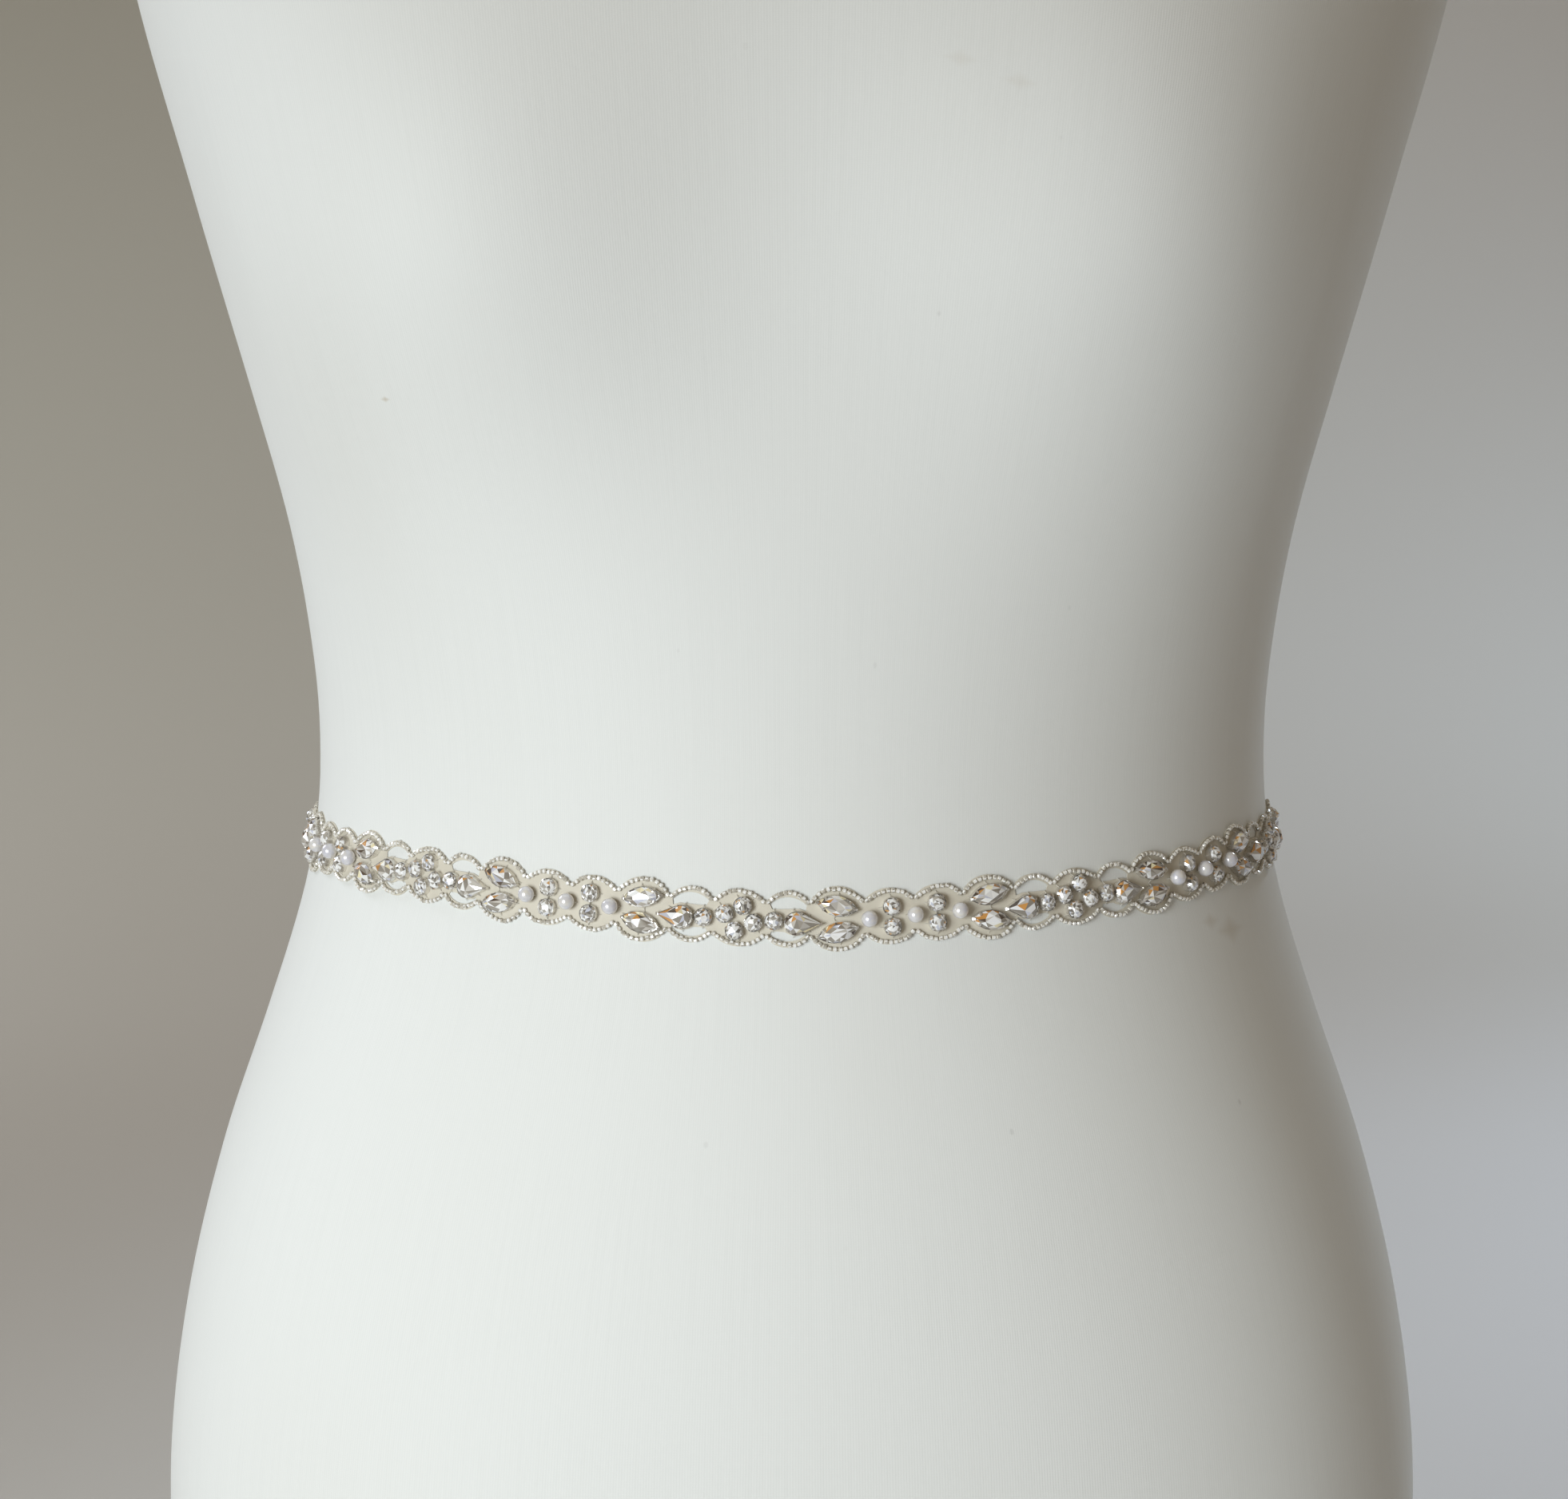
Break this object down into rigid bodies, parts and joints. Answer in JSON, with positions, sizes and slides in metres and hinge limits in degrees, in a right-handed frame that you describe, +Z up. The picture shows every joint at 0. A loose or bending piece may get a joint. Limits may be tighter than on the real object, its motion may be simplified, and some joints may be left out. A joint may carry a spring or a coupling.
{
  "type": "bridal sash on a limbless dress form",
  "caption": "Slim beaded sash of crystals and pearls on scalloped net, snapped round the waist of a plain limbless dress form that stands on its base.",
  "frame": {"origin": "centre line of the form on the flat face that its base rests on", "axes": "+Z up along the form, -Y towards the front, +X to the right of someone who looks at the front"},
  "size_m": [0.3658, 0.2344, 0.745],
  "materials": {
    "jersey": "fine white cotton jersey stretched over the form",
    "net": "fine ecru net with beadwork sewn on",
    "satin": "ivory satin ribbon",
    "steel": "nickel-plated sewn snap",
    "crystal": "foiled cut glass, opaque behind",
    "silver": "silver-plated claw settings",
    "pearl": "lustrous white pearl",
    "seed_bead": "silver-lined cut seed beads"
  },
  "bodies": {
    "root": {"dress_form": "jersey", "band_front": "net", "band_back_left": "net", "band_back_right": "net", "tab_left": "satin", "tab_right": "satin", "snap_socket": "steel", "snap_stud": "steel"}
  },
  "joints": []
}
